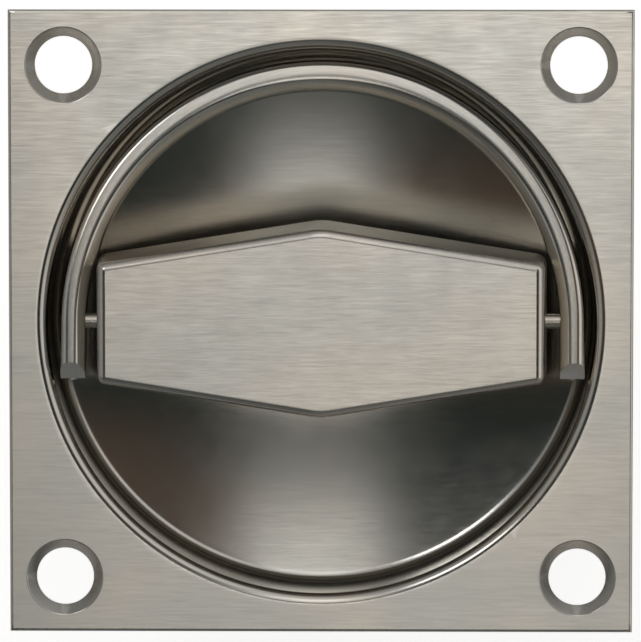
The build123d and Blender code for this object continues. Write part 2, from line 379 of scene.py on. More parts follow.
@dataclass(frozen=True)
class SharedEffects:
    """Node groups that several finishes use, each built once."""

    grain: bpy.types.NodeTree
    edge_highlight: bpy.types.NodeTree
    clouding: bpy.types.NodeTree

    @staticmethod
    def start(name: str, inputs: dict[str, object], outputs: dict[str, str]
              ) -> tuple[bpy.types.NodeTree, Graph, object, bpy.types.Node]:
        """Starts a node group with named inputs and outputs.

        Args:
            name: Name of the group.
            inputs: Default of each input: None for a vector, a number, or a colour.
            outputs: Kind of each output, Float or Color.

        Returns:
            The group, its graph, the sockets that give its inputs, and the node that
            takes its outputs.
        """
        group = bpy.data.node_groups.new(name, "ShaderNodeTree")
        kinds = {type(None): "Vector", float: "Float", tuple: "Color"}
        for label, default in inputs.items():
            kind = f"NodeSocket{kinds[type(default)]}"
            made = group.interface.new_socket(name=label, in_out="INPUT",
                                              socket_type=kind)
            if default is not None:
                made.default_value = default
        for label, kind in outputs.items():
            group.interface.new_socket(name=label, in_out="OUTPUT",
                                       socket_type=f"NodeSocket{kind}")
        graph = Graph(group)
        source = graph.node("NodeGroupInput")
        return group, graph, source.outputs, graph.node("NodeGroupOutput")

    @classmethod
    def build_grain(cls) -> bpy.types.NodeTree:
        """Satin grain: three noises, each drawn out along the first axis of Vector.

        Returns:
            A group with inputs Vector, Length, Fineness and outputs Streaks and Height.
        """
        group, graph, given, result = cls.start(
            "satin_grain", {"Vector": None, "Length": 90.0, "Fineness": 3200.0},
            {"Streaks": "Float", "Height": "Float"})
        # Each noise as shares of Length and Fineness, and its weight in the sum.
        layers = ((0.45, 0.35, 0.2), (1.0, 1.0, 0.38), (2.2, 2.6, 0.42))
        total = 0.0
        for length_share, fineness_share, weight in layers:
            along = graph.math("MULTIPLY", given["Length"], length_share)
            across = graph.math("MULTIPLY", given["Fineness"], fineness_share)
            drawn = graph.stretch(given["Vector"], graph.join(along, across, across))
            layer = graph.math("MULTIPLY", graph.noise(drawn, 1.0, detail=1.5), weight)
            total = graph.math("ADD", total, layer)
        faintest, strongest = 0.36, 0.64
        streaks = graph.remap(total, faintest, strongest, smooth=False)
        graph.fill(result, {"Streaks": streaks, "Height": total})
        return group

    @classmethod
    def build_edge_highlight(cls) -> bpy.types.NodeTree:
        """Edge highlight: a mask of convex edges, broken up by noise, which brightens them
        as painted highlight.

        Returns:
            A group with inputs Vector, Start, Break Up and output Mask.
        """
        group, graph, given, result = cls.start(
            "edge_highlight", {"Vector": None, "Start": 0.52, "Break Up": 0.05},
            {"Mask": "Float"})
        breaks_per_metre, fade = 900.0, 0.08
        sharpness = graph.node("ShaderNodeNewGeometry").outputs["Pointiness"]
        rough = graph.noise(given["Vector"], breaks_per_metre, detail=3.0)
        offset = graph.math("MULTIPLY", graph.math("SUBTRACT", rough, 0.5),
                            given["Break Up"])
        level = graph.math("ADD", sharpness, offset)
        high = graph.math("ADD", given["Start"], fade)
        graph.fill(result, {"Mask": graph.remap(level, given["Start"], high)})
        return group

    @classmethod
    def build_clouding(cls) -> bpy.types.NodeTree:
        """Clouding: slow changes of tone over a surface, as handling and polish leave.

        Returns:
            A group with inputs Vector, Size, Warm, Cool and outputs Tint and Smudge.
        """
        group, graph, given, result = cls.start(
            "clouding",
            {"Vector": None, "Size": 45.0, "Warm": (1.0, 0.97, 0.92, 1.0),
             "Cool": (0.86, 0.885, 0.88, 1.0)},
            {"Tint": "Color", "Smudge": "Float"})
        smears_per_cloud = 4.5
        slow = graph.noise(given["Vector"], given["Size"], detail=2.0)
        quick = graph.math("MULTIPLY", given["Size"], smears_per_cloud)
        smear = graph.noise(given["Vector"], quick, detail=4.0, roughness=0.6)
        warmth = graph.remap(slow, 0.35, 0.65)
        tint = graph.mix(warmth, given["Cool"], given["Warm"])
        graph.fill(result, {"Tint": tint, "Smudge": graph.remap(smear, 0.3, 0.7)})
        return group

    @classmethod
    def build(cls) -> "SharedEffects":
        """Builds the three groups."""
        return cls(cls.build_grain(), cls.build_edge_highlight(), cls.build_clouding())


class GrainRun(Enum):
    """Which way the satin grain runs on a piece."""

    ALONG_X = "along_x"
    ALONG_Z = "along_z"
    ALONG_BAR = "along_bar"
    TURNED = "turned"


@dataclass(frozen=True)
class SatinSteel:
    """Ground stainless or plated steel with a directional grain.

    Attributes:
        name: Name of the material.
        colour: Base colour of the metal.
        roughness: Mean roughness.
        spread: How far the grain draws a highlight out across itself, 0 to 1.
        run: Way the grain runs.
        length: Streaks for each metre along the grain.
        fineness: Streaks for each metre across the grain.
        contrast: How much the streaks change the colour, 0 to 1.
        depth: Depth of the grain's bump, in metres.
        edge_highlight_gain: How much the painted highlight brightens convex edges.
        start: Pointiness at which the painted edge highlight starts.
        flank: Colour of upright faces, darker and more olive than the top: painted shade.
        flank_roughness: Roughness of those faces, which keep a duller finish than the top.
        flank_tilt: Height of the normal of an upright face and of a level one.
        tint: How far clouding colours the metal, 0 to 1.
        gloss_swing: Roughness of dark and light streaks, times the mean.
        smudge: Roughness that smudges add, times the mean.
        flank_smudge: Roughness that smudges add on upright faces.
        turned_radius: Radius in metres at which turned grain is true to length.
    """

    name: str
    colour: Triple
    roughness: float = 0.3
    spread: float = 0.6
    run: GrainRun = GrainRun.ALONG_X
    length: float = 90.0
    fineness: float = 3200.0
    contrast: float = 0.16
    depth: float = 0.000002
    edge_highlight_gain: float = 0.0
    start: float = 0.53
    flank: Triple | None = None
    flank_roughness: float = 0.5
    flank_tilt: Pair = (0.2, 0.7)
    tint: float = 0.8
    gloss_swing: Pair = (1.12, 0.9)
    smudge: float = 0.12
    flank_smudge: float = 0.1
    turned_radius: float = 0.01

    def directions(self, graph: Graph) -> tuple[Socket, Socket]:
        """Finds the grain's coordinates and the way that highlights draw out.

        Along a bar the coordinates are the distance along it, the distance from the
        origin and z; on a turned piece, the angle as a length, the radius and z.
        Elsewhere they are the place itself, turned so that its first axis is the grain.

        Args:
            graph: Tree of the material.

        Returns:
            The vector that the grain is read from, and the tangent across the grain.
        """
        place = graph.place()
        if self.run in (GrainRun.ALONG_BAR, GrainRun.TURNED):
            x, y, z = graph.split(place)
            if self.run is GrainRun.ALONG_BAR:
                bar = graph.node("ShaderNodeAttribute", attribute_name="along")
                along = bar.outputs["Fac"]
                reach = graph.node("ShaderNodeVectorMath", (place,), operation="LENGTH")
                radius = reach.outputs["Value"]
            else:
                squares = [graph.math("MULTIPLY", part, part) for part in (x, y)]
                radius = graph.math("SQRT", graph.math("ADD", *squares))
                angle = graph.math("ARCTAN2", y, x)
                along = graph.math("MULTIPLY", angle, self.turned_radius)
            around = graph.node("ShaderNodeTangent", direction_type="RADIAL", axis="Z")
            return graph.join(along, radius, z), graph.across(around.outputs[0])
        # The grain leans a little off its axis, so that no face lies square to it.
        turn, grain = (0.0, 0.0, 0.0), (1.0, 0.02, 0.05)
        if self.run is GrainRun.ALONG_Z:
            turn, grain = (0.0, math.pi / 2, 0.0), (0.02, 0.05, 1.0)
        world = graph.node("ShaderNodeVectorTransform", (grain,), vector_type="VECTOR",
                           convert_from="OBJECT", convert_to="WORLD")
        drawn = graph.stretch(place, (1.0, 1.0, 1.0), turn)
        return drawn, graph.across(world.outputs[0])

    def dull_and_shade_flanks(self, graph: Graph, colour: Socket, rough: Socket,
                    clouds: bpy.types.Node) -> tuple[Socket, Socket]:
        """Gives upright faces the flank's roughness and its colour, which is painted shade.

        Args:
            graph: Tree of the material.
            colour: Colour of the level faces.
            rough: Roughness of the level faces.
            clouds: The clouding on this material.

        Returns:
            Colour and roughness over the whole piece.
        """
        height = graph.math("ABSOLUTE", graph.split(graph.place("Normal"))[2])
        top = graph.remap(height, *self.flank_tilt)
        # Painted shade: upright faces take the darker, olive flank colour.
        painted_flank_shade = graph.mix(self.tint, rgba(self.flank), clouds.outputs["Tint"], "MULTIPLY")
        smudged = graph.math("MULTIPLY", clouds.outputs["Smudge"], self.flank_smudge)
        flank = graph.math("MULTIPLY", graph.math("ADD", smudged, self.flank_roughness),
                           graph.math("SUBTRACT", 1.0, top))
        level = graph.math("MULTIPLY", rough, top)
        return graph.mix(top, painted_flank_shade, colour), graph.math("ADD", level, flank)

    def build(self, effects: SharedEffects) -> bpy.types.Material:
        """Makes the material.

        Args:
            effects: The shared node groups.

        Returns:
            The finished material.
        """
        material, graph, shader = start_material(self.name)
        vector, tangent = self.directions(graph)
        place = graph.place()
        grain = graph.group(effects.grain, Vector=vector, Length=self.length,
                            Fineness=self.fineness)
        clouds = graph.group(effects.clouding, Vector=place)
        streaked = graph.mix(grain.outputs["Streaks"],
                             rgba(self.colour, 1.0 - self.contrast),
                             rgba(self.colour, 1.0 + self.contrast))
        colour = graph.mix(self.tint, streaked, clouds.outputs["Tint"], "MULTIPLY")
        # Painted highlight: convex edges, found from pointiness, get a brighter colour.
        if self.edge_highlight_gain > 0.0:
            edge_glint = graph.group(effects.edge_highlight, Vector=place, Start=self.start)
            bright = rgba(self.colour, 1.0 + self.edge_highlight_gain)
            colour = graph.mix(edge_glint.outputs["Mask"], colour, bright)
        in_dark, in_light = (self.roughness * swing for swing in self.gloss_swing)
        rough = graph.remap(grain.outputs["Streaks"], 0.0, 1.0, in_dark, in_light,
                            smooth=False)
        rough = graph.math("ADD", rough, graph.math(
            "MULTIPLY", clouds.outputs["Smudge"], self.roughness * self.smudge))
        if self.flank is not None:
            colour, rough = self.dull_and_shade_flanks(graph, colour, rough, clouds)
        bump = graph.node("ShaderNodeBump", {"Distance": self.depth,
                                             "Height": grain.outputs["Height"]})
        graph.fill(shader, {"Metallic": 1.0, "Anisotropic": self.spread,
                            "Base Color": colour, "Roughness": rough,
                            "Tangent": tangent, "Normal": bump.outputs[0]})
        return material


@dataclass(frozen=True)
class MouldedNylon:
    """Dark moulded plastic with a faint eggshell texture.

    Attributes:
        name: Name of the material.
        colour: Base colour.
        roughness: Mean roughness.
        gloss_swing: Least and greatest roughness, times the mean.
        cloud_size: Clouds for each metre.
        tint: How far clouding colours it, 0 to 1.
        fineness: Lumps of the texture for each metre.
        depth: Depth of the texture, in metres.
    """

    name: str
    colour: Triple
    roughness: float = 0.48
    gloss_swing: Pair = (0.85, 1.15)
    cloud_size: float = 160.0
    tint: float = 0.7
    fineness: float = 4200.0
    depth: float = 0.00001

    def build(self, effects: SharedEffects) -> bpy.types.Material:
        """Makes the material from clouded colour, uneven gloss and a fine bump.

        Args:
            effects: The shared node groups.

        Returns:
            The finished material.
        """
        material, graph, shader = start_material(self.name)
        place = graph.place()
        clouds = graph.group(effects.clouding, Vector=place, Size=self.cloud_size)
        least, most = (self.roughness * swing for swing in self.gloss_swing)
        lumps = graph.noise(place, self.fineness, detail=3.0)
        bump = graph.node("ShaderNodeBump", {"Distance": self.depth, "Height": lumps})
        graph.fill(shader, {
            "Base Color": graph.mix(self.tint, rgba(self.colour),
                                    clouds.outputs["Tint"], "MULTIPLY"),
            "Roughness": graph.remap(clouds.outputs["Smudge"], 0.0, 1.0, least, most),
            "Normal": bump.outputs[0],
        })
        return material


# ------------------------------------------------------------------------ face plate

# Softened edges as shares of their radius: how far in or out, and how far down.
PLATE_ROUND = ((1.0, 0.0), (0.62, 0.08), (0.29, 0.29), (0.08, 0.62), (0.0, 1.0))
SINK_ROUND = ((1.0, 0.0), (0.35, 0.12), (-0.5, 0.6))


@dataclass
class FacePlate:
    """The square plate and the bowl drawn from it, as one closed smooth surface.

    Sizes are in millimetres, from the centre of the screw holes on the plate's back.
    Names that end in steps or rows are counts of chords or rows of faces.
    """

    half_side: float = 42.5
    sheet: float = 1.5
    edge_break: float = 0.4
    hole_inset: float = 7.5
    hole_radius: float = 3.9
    hole_land: float = 0.25
    hole_soft: float = 0.1
    bowl_radius: float = 37.3
    wall_draft: float = 1.0
    wall_depth: float = 10.8
    dish: float = 4.7
    foot_radius: float = 2.0
    lip_radius: float = 1.5
    pad_radius: float = 11.5
    bush_radius: float = 8.527
    weld: float = 0.002
    crisp_angle: float = 24.0
    columns: int = 96
    tile_steps: int = 14
    tile_rows: int = 8
    tile_crowding: float = 0.8
    pad_steps: int = 4
    floor_steps: int = 40
    foot_steps: int = 14
    wall_steps: int = 8
    back_wall_steps: int = 6
    lip_steps: int = 16
    settling_passes: int = 8

    def dish_shape(self) -> Triple:
        """Works out the dished floor, a ball's cap that ends at the wall's foot.

        Returns:
            Radius of the ball, level of its centre, and radius of the wall's foot.
        """
        lean = math.tan(math.radians(self.wall_draft))
        foot = self.bowl_radius - self.wall_depth * lean
        radius = (foot**2 + self.dish**2) / (2 * self.dish)
        centre = self.sheet - self.wall_depth - self.dish + radius
        return radius, centre, foot

    def wall_profile(self, sheet: float) -> Array:
        """Outline of one side of the bowl, from the bush's hole to the plate's face.

        The floor is an arc about a centre high above it, the foot a fillet between floor
        and wall, and the front's lip a fillet between wall and face. Each fillet's centre
        is where the floor and the wall, both moved inwards by its radius, cross. That
        point is found in a few passes, each from the level of the one before.

        Args:
            sheet: 0 for the front, or the thickness for the back.

        Returns:
            Points (radius, level), in millimetres.
        """
        dish, centre, foot = self.dish_shape()
        big = dish + sheet
        pad_level = centre - math.sqrt(dish**2 - self.pad_radius**2) - sheet
        pad = math.sqrt(big**2 - (centre - pad_level) ** 2)
        lean = math.radians(self.wall_draft)
        top = self.bowl_radius + sheet
        corner = self.foot_radius + sheet
        level = centre - math.sqrt((big - corner) ** 2 - (foot - corner) ** 2)
        for _ in range(self.settling_passes):
            wall = top - (self.sheet - level) * math.tan(lean)
            across = wall - corner / math.cos(lean)
            level = centre - math.sqrt((big - corner) ** 2 - across**2)
        floor_angle = math.degrees(math.atan2(level - centre, across))
        floor_start = math.degrees(math.atan2(pad_level - centre, pad))
        middle = (0.0, centre)
        parts = [
            straight((self.bush_radius, pad_level), (pad, pad_level), self.pad_steps)[:-1],
            arc_points(middle, big, floor_start, floor_angle, self.floor_steps)[:-1],
            arc_points((across, level), corner, floor_angle, -self.wall_draft,
                       self.foot_steps),
        ]
        wall_foot = tuple(parts[-1][-1])
        if sheet > 0:
            wall_top = (top - self.sheet * math.tan(lean), 0.0)
            parts.append(straight(wall_foot, wall_top, self.back_wall_steps)[1:])
            return np.concatenate(parts)
        turn = math.radians(90.0 - self.wall_draft)
        reach = self.lip_radius * math.tan(turn / 2)
        lip_centre = (self.bowl_radius + reach, self.sheet - self.lip_radius)
        lip = arc_points(lip_centre, self.lip_radius, 180.0 - self.wall_draft, 90.0,
                         self.lip_steps)
        parts.append(straight(wall_foot, tuple(lip[0]), self.wall_steps)[1:-1])
        parts.append(lip)
        return np.concatenate(parts)

    def angles(self) -> Array:
        """Angles of the bowl's columns, evenly spaced, with one on every 45 degrees."""
        return np.arange(4 * self.columns) * TAU / (4 * self.columns) + math.pi / 4

    def revolve(self, profile: Array) -> Array:
        """Turns a profile about Z: (r cos a, r sin a, z) at each point and column angle.

        Args:
            profile: Points (radius, level), in millimetres.

        Returns:
            Grid of points, in metres.
        """
        angle = self.angles()
        grid = np.empty((len(profile), len(angle), 3))
        grid[..., 0] = profile[:, :1] * np.cos(angle)
        grid[..., 1] = profile[:, :1] * np.sin(angle)
        grid[..., 2] = profile[:, 1:]
        return grid * MM

    def strip(self, inner: float, outer: float, level: float) -> Array:
        """One side of the flat rim, between the bowl's edge and the plate's edge.

        Row t and column k lie on the straight line from the circle's point at the column's
        angle to the point of the plate's edge that shares k, a share t of the way along.

        Args:
            inner: Radius of the bowl's edge.
            outer: Half side of the flat.
            level: Height of the flat.

        Returns:
            Grid of points, in metres.
        """
        share = np.linspace(0.0, 1.0, self.columns + 1)
        angle = math.pi / 4 + share * math.pi / 2
        circle = np.stack([inner * np.cos(angle), inner * np.sin(angle)], -1)
        corner = inner / math.sqrt(2)
        edge = np.stack([corner * (1 - 2 * share), np.full_like(share, outer)], -1)
        rows = np.linspace(0.0, 1.0, self.tile_steps + 1)[:, None, None]
        return at_level(circle * (1 - rows) + edge * rows, level)

    def tile_border(self, inner: float, outer: float) -> Array:
        """Closed border of a corner tile, from its inner corner and clockwise.

        The tile is the square between the bowl's 45 degree point and the plate's corner.

        Args:
            inner: Radius of the bowl's edge.
            outer: Half side of the flat.

        Returns:
            Points (x, y), in millimetres.
        """
        near = inner / math.sqrt(2)
        corners = [(near, near), (near, outer), (outer, outer), (outer, near), (near, near)]
        sides = [straight(start, stop, self.tile_steps)[:-1]
                 for start, stop in zip(corners[:-1], corners[1:])]
        return np.concatenate(sides)

    def hole_ring(self, radius: float) -> Array:
        """Circle round a screw hole, with points that pair with the tile's border.

        Args:
            radius: Radius of the circle.

        Returns:
            Points (x, y), in millimetres, clockwise from the bowl's side.
        """
        count = 4 * self.tile_steps
        angle = math.radians(225.0) - np.arange(count) * TAU / count
        centre = self.half_side - self.hole_inset
        across, up = radius * np.cos(angle), radius * np.sin(angle)
        return np.stack([centre + across, centre + up], -1)

    def tile(self, inner: float, outer: float, hole: float, level: float) -> Array:
        """A corner tile: straight lines from the tile's border to the round hole.

        Args:
            inner: Radius of the bowl's edge.
            outer: Half side of the flat.
            hole: Radius of the hole in the flat.
            level: Height of the flat.

        Returns:
            Grid of points, in metres.
        """
        rows = np.linspace(0.0, 1.0, self.tile_rows + 1)[:, None, None]
        rows = rows**self.tile_crowding
        flat = self.tile_border(inner, outer) * (1 - rows) + self.hole_ring(hole) * rows
        return at_level(flat, level)

    def sink_radius(self) -> float:
        """Radius of a countersink where its 45 degree cone meets the plate's face."""
        return self.hole_radius + (self.sheet - self.hole_land)

    def sink(self) -> Array:
        """Walls of a countersunk hole: a cone with softened edges and a short land.

        Returns:
            Grid of points, in metres.
        """
        soft = self.hole_soft
        levels = [(self.sink_radius() + out * soft, self.sheet - down * soft)
                  for out, down in SINK_ROUND]
        levels += [
            (self.hole_radius + soft, self.hole_land + soft),
            (self.hole_radius, self.hole_land),
            (self.hole_radius, 0.0),
        ]
        return np.stack([at_level(self.hole_ring(radius), z) for radius, z in levels])

    def rim(self, front_inner: float, back_inner: float) -> Array:
        """Edge of the plate: its blunted front edge and its upright side, all round.

        Args:
            front_inner: Radius of the bowl's edge on the face.
            back_inner: Radius of the bowl's edge on the back.

        Returns:
            Grid of points, in metres.
        """
        soft = self.edge_break
        levels = [(self.half_side - inwards * soft, self.sheet - down * soft, front_inner)
                  for inwards, down in PLATE_ROUND]
        levels.append((self.half_side, 0.0, back_inner))
        rows = []
        for half, level, inner in levels:
            near = inner / math.sqrt(2)
            rail = np.concatenate([
                np.linspace(half, near, self.tile_steps + 1)[:-1],
                np.linspace(near, -near, self.columns + 1)[:-1],
                np.linspace(-near, -half, self.tile_steps + 1)[:-1],
            ])
            side = np.stack([rail, np.full_like(rail, half)], -1)
            quarters = np.arange(4) * math.pi / 2
            loop = [side @ np.array([[math.cos(a), math.sin(a)],
                                     [-math.sin(a), math.cos(a)]]) for a in quarters]
            rows.append(at_level(np.concatenate(loop), level))
        return np.stack(rows)

    @staticmethod
    def quarter_turns(grid: Array) -> list[Array]:
        """The grid and its copies turned by one, two and three quarter turns about Z.

        Args:
            grid: Grid of points.

        Returns:
            The four grids.
        """
        turned = []
        for quarter in range(4):
            angle = quarter * math.pi / 2
            c, s = round(math.cos(angle)), round(math.sin(angle))
            turn = np.array([[c, s, 0], [-s, c, 0], [0, 0, 1]], dtype=float)
            turned.append(grid @ turn)
        return turned

    @staticmethod
    def crease_flats(mesh: bpy.types.Mesh) -> None:
        """Marks edges between a flat and a blunted edge crisp, so that flats shade flat.

        An edge is marked where one of its faces is level and another leans, which is
        read from the height of their normals.

        Args:
            mesh: The plate's mesh.
        """
        level_from, leaning_below = 0.99999, 0.99
        edges = np.empty(len(mesh.loops), dtype=np.int32)
        mesh.loops.foreach_get("edge_index", edges)
        sizes = np.empty(len(mesh.polygons), dtype=np.int32)
        mesh.polygons.foreach_get("loop_total", sizes)
        normals = np.empty(3 * len(mesh.polygons), dtype=np.float32)
        mesh.polygons.foreach_get("normal", normals)
        height = np.repeat(np.abs(normals.reshape(-1, 3)[:, 2]), sizes)
        steep = np.ones(len(mesh.edges), dtype=np.float32)
        flat = np.zeros(len(mesh.edges), dtype=np.float32)
        np.minimum.at(steep, edges, height)
        np.maximum.at(flat, edges, height)
        crisp = np.empty(len(mesh.edges), dtype=bool)
        mesh.edges.foreach_get("use_edge_sharp", crisp)
        crisp |= (flat > level_from) & (steep < leaning_below)
        mesh.edges.foreach_set("use_edge_sharp", crisp)

    def build(self) -> bpy.types.Object:
        """Builds the plate.

        Returns:
            The plate's object.
        """
        front = self.wall_profile(0.0)
        back = self.wall_profile(self.sheet)
        front_edge, back_edge = front[-1, 0], back[-1, 0]
        face_half = self.half_side - self.edge_break
        face_hole = self.sink_radius() + self.hole_soft
        work = Patchwork()
        work.add_grid(self.revolve(front), closed=True)
        work.add_grid(self.revolve(back), closed=True, flip=True)
        work.add_grid(self.revolve(np.stack([back[0], front[0]])), closed=True)
        # Each patch, whether its columns close, and whether it faces backwards.
        patches = (
            (self.strip(front_edge, face_half, self.sheet), False, False),
            (self.strip(back_edge, self.half_side, 0.0), False, True),
            (self.tile(front_edge, face_half, face_hole, self.sheet), True, False),
            (self.tile(back_edge, self.half_side, self.hole_radius, 0.0), True, True),
            (self.sink(), True, False),
        )
        for patch, closed, flip in patches:
            for grid in self.quarter_turns(patch):
                work.add_grid(grid, closed=closed, flip=flip)
        work.add_grid(self.rim(front_edge, back_edge), closed=True)
        plate = work.to_object("satin_face_plate", self.weld * MM, self.crisp_angle)
        self.crease_flats(plate.data)
        flats = plate.modifiers.new("flat_normals", "WEIGHTED_NORMAL")
        flats.mode = "FACE_AREA"
        flats.weight = 100
        flats.keep_sharp = True
        return plate


# ------------------------------------------------------------------------------ ring

# The bevel's two softened turns, from its own corner, as shares of their size.
BEVEL_FOOT = ((0.0, -1.0), (0.3, 0.1))
BEVEL_TOP = ((-0.9, -0.95), (0.0, -0.35), (1.0, 0.0))


@dataclass
class HalfRing:
    """The folding half ring: one bar, sloped at its tips, thicker at its crown.

    Sizes are in millimetres and angles in degrees. The bar's plan lies between an outer
    and an inner arc whose centres differ, with a straight tail at each end, and the whole
    dips into the bowl.
    """

    outer_radius: float = 35.7
    bar_width: float = 3.35
    bar_height: float = 5.0
    crown_extra: float = 0.6
    tail: float = 7.91
    tip_slope: float = 2.0
    outer_round: float = 1.1
    inner_bevel: float = 1.1
    bevel_soft: float = 0.22
    under_round: float = 0.4
    pivot_level: float = -0.7
    dip: float = 9.4
    side_shift: float = 0.2
    weld: float = 0.0001
    crisp_angle: float = 28.0
    soft_edge: float = 0.12
    soft_edge_from: float = 32.0
    tail_steps: int = 10
    arc_steps: int = 160
    round_steps: int = 10
    under_steps: int = 4

    def rails(self) -> tuple[Array, Array]:
        """Outer and inner edge of the bar's plan, point for point.

        Each is a straight tail, a half circle and a straight tail; the inner half circle's
        centre lies crown_extra lower, so the bar is widest at its crown.

        Returns:
            Points (x, y) of the outer and of the inner edge.
        """
        turn = np.linspace(math.pi, 0.0, self.arc_steps + 1)
        inner_radius = self.outer_radius - self.bar_width
        rails = []
        for radius, drop in ((self.outer_radius, 0.0), (inner_radius, self.crown_extra)):
            arc = np.stack([radius * np.cos(turn), radius * np.sin(turn) - drop], -1)
            left = straight((-radius, -self.tail), (-radius, -drop), self.tail_steps)[:-1]
            right = straight((radius, -drop), (radius, -self.tail), self.tail_steps)[1:]
            rails.append(np.concatenate([left, arc, right]))
        return rails[0], rails[1]

    def section(self) -> tuple[Array, Array, Array]:
        """Closed outline across the bar, from the middle of its crest outwards and round.

        Every point hangs on one of the two edges of the bar: a share of 0 means the inner
        edge and 1 the outer, and the offset moves it from that edge into the bar.

        Returns:
            Shares, offsets in millimetres and levels, each with one entry a point.
        """
        high = self.bar_height / 2
        top = arc_points((self.outer_round, high - self.outer_round), self.outer_round,
                         90, 180, self.round_steps)
        low = arc_points((self.under_round, self.under_round - high), self.under_round,
                         180, 270, self.under_steps)
        bevel, soft = self.inner_bevel, self.bevel_soft
        table = np.array([
            (0.5, 0.0, high),
            *((1.0, x, z) for x, z in top),
            (1.0, 0.0, 0.0),
            *((1.0, x, z) for x, z in low),
            (0.5, 0.0, -high),
            *((0.0, x, z) for x, z in low[::-1]),
            (0.0, 0.0, 0.0),
            *((0.0, x * soft, high - bevel + z * soft) for x, z in BEVEL_FOOT),
            *((0.0, bevel + x * soft, high + z * soft) for x, z in BEVEL_TOP),
        ])
        return table[:, 0], table[:, 1], table[:, 2]

    def cut_tips(self, work: bmesh.types.BMesh) -> None:
        """Cuts the sloped tips: the plane at 45 degrees through the top of each end.

        Args:
            work: The bar, before it is placed.
        """
        edge = Vector((0.0, -(self.tail - self.tip_slope), self.bar_height / 2)) * MM
        slope = Vector((0.0, -1.0, 1.0)).normalized()
        geometry = list(work.verts) + list(work.edges) + list(work.faces)
        bmesh.ops.bisect_plane(work, geom=geometry, plane_co=edge, plane_no=slope,
                               clear_outer=True, dist=self.weld * MM)
        self.close_ends(work)

    @staticmethod
    def close_ends(work: bmesh.types.BMesh) -> None:
        """Fills every open end of the bar with a face."""
        rim = [edge for edge in work.edges if edge.is_boundary]
        bmesh.ops.holes_fill(work, edges=rim, sides=0)

    def place(self, work: bmesh.types.BMesh) -> None:
        """Turns the ring down into the bowl and moves it to its pins.

        Args:
            work: The finished bar.
        """
        turn = Matrix.Rotation(math.radians(-self.dip), 4, "X")
        move = Matrix.Translation(Vector((self.side_shift, 0.0, self.pivot_level)) * MM)
        bmesh.ops.transform(work, matrix=move @ turn, verts=work.verts)

    def finish(self, work: bmesh.types.BMesh) -> None:
        """Closes the ends, cuts the slopes and puts the ring in its place.

        Args:
            work: The welded bar.
        """
        self.close_ends(work)
        self.cut_tips(work)
        self.place(work)

    def build(self) -> bpy.types.Object:
        """Builds the ring: rails joined across by the section, capped, cut and placed.

        Returns:
            The ring's object.
        """
        outer, inner = self.rails()
        share, offset, level = self.section()
        across = outer - inner
        unit = across / np.linalg.norm(across, axis=1, keepdims=True)
        lean = np.where(share == 0.0, offset, np.where(share == 1.0, -offset, 0.0))
        grid = np.empty((len(outer), len(share), 3))
        grid[..., :2] = inner[:, None] + across[:, None] * share[None, :, None]
        grid[..., :2] += unit[:, None] * lean[None, :, None]
        grid[..., 2] = level
        middle = (outer + inner) / 2
        steps = np.linalg.norm(np.diff(middle, axis=0), axis=1)
        along = np.concatenate([[0.0], np.cumsum(steps)]) * MM
        marks = np.repeat(along[:, None], len(share), 1)
        work = Patchwork()
        work.add_grid(grid * MM, closed=True, marks=marks)
        ring = work.to_object("satin_ring", self.weld * MM, self.crisp_angle, self.finish)
        soften = ring.modifiers.new("blunted_edges", "BEVEL")
        soften.width = self.soft_edge * MM
        soften.segments = 2
        soften.limit_method = "ANGLE"
        soften.angle_limit = math.radians(self.soft_edge_from)
        soften.harden_normals = True
        return ring


# ------------------------------------------------------------------------- the handle


@dataclass
class Finishes:
    """Every finish of the handle, made once."""

    effects: SharedEffects

    def build(self) -> dict[str, bpy.types.Material]:
        """Makes each material.

        Returns:
            The materials by name, which is also the name of their slot.
        """
        # satin_sheet and satin_bar brighten their convex edges as painted highlight.
        specs = (
            SatinSteel("satin_sheet", (0.63, 0.607, 0.575), roughness=0.175, spread=0.3,
                       contrast=0.045, length=150.0, fineness=2600.0, edge_highlight_gain=0.12),
            # The casting's upright faces take a darker, olive flank colour as painted
            # shade.
            SatinSteel("satin_casting", (0.65, 0.626, 0.594), roughness=0.2, spread=0.35,
                       contrast=0.045, length=180.0, fineness=3000.0,
                       flank=(0.56, 0.52, 0.45), flank_roughness=0.3),
            SatinSteel("satin_bar", (0.66, 0.64, 0.61), roughness=0.17, spread=0.3,
                       run=GrainRun.ALONG_BAR, contrast=0.07, length=60.0,
                       fineness=4200.0, edge_highlight_gain=0.15),
            SatinSteel("pin_steel", (0.56, 0.53, 0.49), roughness=0.26, spread=0.3,
                       contrast=0.1, length=500.0),
            SatinSteel("washer_steel", (0.7, 0.7, 0.67), roughness=0.28, spread=0.4,
                       run=GrainRun.TURNED, contrast=0.08),
            SatinSteel("spring_steel", (0.1, 0.1, 0.11), roughness=0.42, spread=0.1,
                       contrast=0.2),
            SatinSteel("spindle_steel", (0.62, 0.6, 0.54), roughness=0.3, spread=0.5,
                       run=GrainRun.ALONG_Z, contrast=0.12, length=40.0),
            MouldedNylon("bush_nylon", (0.045, 0.045, 0.048)),
        )
        return {spec.name: spec.build(self.effects) for spec in specs}


